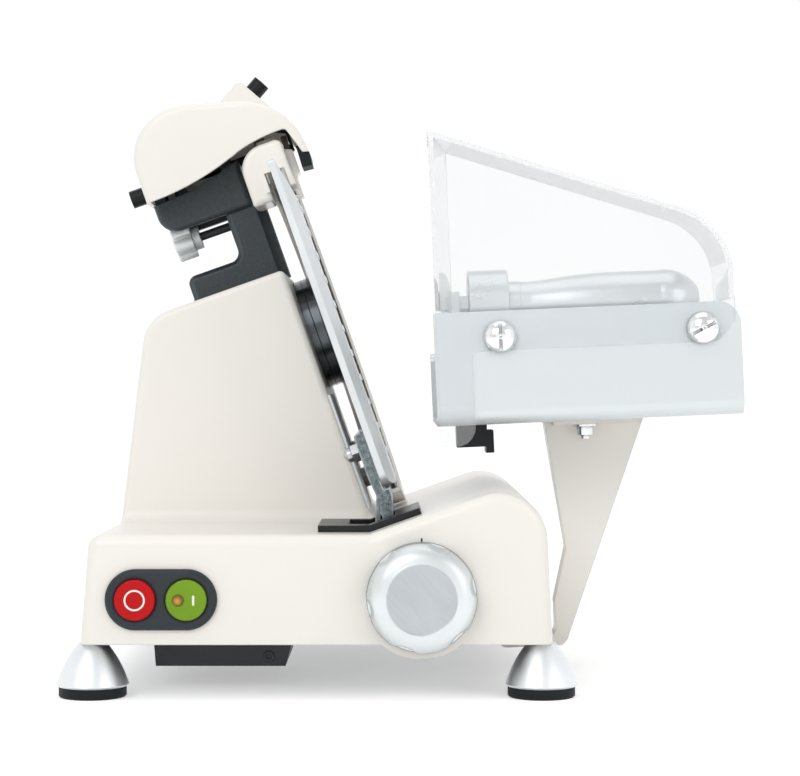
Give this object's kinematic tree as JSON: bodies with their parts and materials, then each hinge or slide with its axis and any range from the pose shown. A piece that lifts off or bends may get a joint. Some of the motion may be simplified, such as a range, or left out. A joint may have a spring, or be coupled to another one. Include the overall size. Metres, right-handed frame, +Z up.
{
  "type": "electric food slicer",
  "caption": "Gravity-feed food slicer: tilted round blade on a cast base, gauge plate set by a front knob, sharpener on the tower, and a tilting, sliding carriage with clear hand guard.",
  "frame": {"origin": "on the table, under the middle of the whole outline with the carriage tilted open", "axes": "+X from the tower to the carriage, +Y from the operator to the back, +Z up"},
  "size_m": [0.4193, 0.3756, 0.4044],
  "materials": {
    "cream_paint": "smooth semi-gloss enamel",
    "slate_plastic": "fine-grained matt",
    "satin_aluminium": "satin",
    "bright_steel": "polished",
    "satin_steel": "satin",
    "blade_steel": "fine circular brushing",
    "zinc_steel": "mottled zinc",
    "black_rubber": "matt",
    "black_plastic": "satin",
    "grey_plastic": "satin",
    "red_plastic": "semi-gloss",
    "green_plastic": "semi-gloss",
    "amber_lens": "gloss",
    "clear_plastic": "clear",
    "abrasive": "rough grain",
    "grey_iron": "matt"
  },
  "bodies": {
    "machine": {"body_casting": "cream_paint", "bottom_cover": "satin_steel", "cover_screws": "satin_steel", "electrics_box": "black_plastic", "foot_cones": "satin_steel", "foot_pads": "black_rubber", "foot_studs": "satin_steel", "button_panel": "slate_plastic", "switch_block": "black_plastic", "slot_seal": "black_rubber", "gauge_rods": "satin_steel", "motor": "grey_iron", "drive_belt": "black_rubber", "bearing_housing": "slate_plastic", "bearings": "satin_steel", "ring_guard": "cream_paint", "housing_screws": "satin_steel", "slice_deflector": "satin_steel", "blade_cover": "cream_paint", "sharpener_frame": "slate_plastic", "sharpener_body": "slate_plastic", "sharpener_hood": "cream_paint", "hood_lip": "black_rubber", "carriage_rod": "satin_steel", "cord_grommet": "black_rubber"},
    "blade_unit": {"blade": "blade_steel", "drive_flange": "satin_steel", "blade_screws": "satin_steel", "blade_pulley": "grey_iron"},
    "motor_rotor": {"motor_shaft": "satin_steel", "motor_pulley": "grey_iron"},
    "knob_unit": {"thickness_knob": "satin_aluminium", "knob_spindle": "satin_steel", "thickness_cam": "grey_plastic"},
    "gauge_unit": {"gauge_plate": "satin_aluminium", "gauge_bracket": "zinc_steel", "gauge_bolt": "bright_steel", "gauge_slide": "grey_plastic"},
    "stop_unit": {"stop_button": "red_plastic"},
    "start_unit": {"start_button": "green_plastic", "pilot_lens": "amber_lens"},
    "grind_plunger": {"grind_button": "black_plastic"},
    "grind_wheel": {"grind_stone": "abrasive"},
    "deburr_plunger": {"deburr_button": "black_plastic"},
    "deburr_wheel": {"deburr_stone": "abrasive"},
    "clamp": {"clamp_knob": "grey_plastic"},
    "slider": {"carriage_bush": "grey_plastic"},
    "carriage": {"carriage_arm": "cream_paint", "tray": "satin_aluminium", "hand_guard": "clear_plastic", "guard_screws": "bright_steel", "arm_bolts": "satin_steel", "latch_block": "black_plastic", "pusher_rod": "satin_steel"},
    "pusher_slider": {"pusher_sleeve": "grey_plastic"},
    "pusher": {"pusher_arm": "satin_aluminium", "pusher_plate": "satin_aluminium", "pusher_collar": "satin_aluminium", "pusher_grip": "satin_aluminium"}
  },
  "joints": [
    {"name": "blade_spin", "type": "hinge", "parent": "machine", "child": "blade_unit", "pos_m": [-0.04356, 0.0568, 0.2303], "axis": [0.9426, 0, 0.3338], "continuous": true},
    {"name": "motor_spin", "type": "hinge", "parent": "machine", "child": "motor_rotor", "pos_m": [-0.08826, 0.0568, 0.11687], "axis": [0.9426, 0, 0.3338], "continuous": true},
    {"name": "knob_turn", "type": "hinge", "parent": "machine", "child": "knob_unit", "pos_m": [0.01164, -0.1682, 0.0615], "axis": [0, 1, 0], "range_deg": [0, 300]},
    {"name": "gauge_slide", "type": "slide", "parent": "machine", "child": "gauge_unit", "axis": [0.9426, 0, 0.3338], "range_m": [-0.01501, 0]},
    {"name": "stop_push", "type": "slide", "parent": "machine", "child": "stop_unit", "axis": [0, 1, 0], "range_m": [0, 0.0025], "stiffness_N_per_m": 300, "springref_m": -0.003},
    {"name": "start_push", "type": "slide", "parent": "machine", "child": "start_unit", "axis": [0, 1, 0], "range_m": [0, 0.0025], "stiffness_N_per_m": 300, "springref_m": -0.003},
    {"name": "grind_push", "type": "slide", "parent": "machine", "child": "grind_plunger", "axis": [0.9426, 0, 0.3338], "range_m": [0, 0.004], "stiffness_N_per_m": 400, "springref_m": -0.004},
    {"name": "grind_stone_spin", "type": "hinge", "parent": "grind_plunger", "child": "grind_wheel", "pos_m": [-0.09685, 0.0538, 0.35082], "axis": [0.9426, 0, 0.3338], "continuous": true},
    {"name": "deburr_push", "type": "slide", "parent": "machine", "child": "deburr_plunger", "axis": [-0.6494, 0, -0.7604], "range_m": [0, 0.0028], "stiffness_N_per_m": 400, "springref_m": -0.004},
    {"name": "deburr_stone_spin", "type": "hinge", "parent": "deburr_plunger", "child": "deburr_wheel", "pos_m": [-0.08097, 0.0538, 0.3539], "axis": [0.9426, 0, 0.3338], "continuous": true},
    {"name": "clamp_turn", "type": "hinge", "parent": "machine", "child": "clamp", "pos_m": [-0.14935, 0.0538, 0.28937], "axis": [0.9426, 0, 0.3338], "continuous": true},
    {"name": "carriage_slide", "type": "slide", "parent": "machine", "child": "slider", "axis": [0, 1, 0], "range_m": [-0.07, 0.165]},
    {"name": "carriage_tilt", "type": "hinge", "parent": "slider", "child": "carriage", "pos_m": [0.07064, -0.0532, 0.0539], "axis": [0, -1, 0], "range_deg": [0, 17]},
    {"name": "pusher_slide", "type": "slide", "parent": "carriage", "child": "pusher_slider", "axis": [0.999, 0, 0.0436], "range_m": [0, 0.12]},
    {"name": "pusher_swing", "type": "hinge", "parent": "pusher_slider", "child": "pusher", "pos_m": [0.05211, 0.0488, 0.20323], "axis": [-0.999, 0, -0.0436], "range_deg": [0, 70]}
  ],
  "couplings": [
    {"joint": "motor_spin", "follows": "blade_spin", "ratio": 2.2862},
    {"joint": "gauge_slide", "follows": "knob_turn", "m_per_rad": -0.0028648}
  ]
}
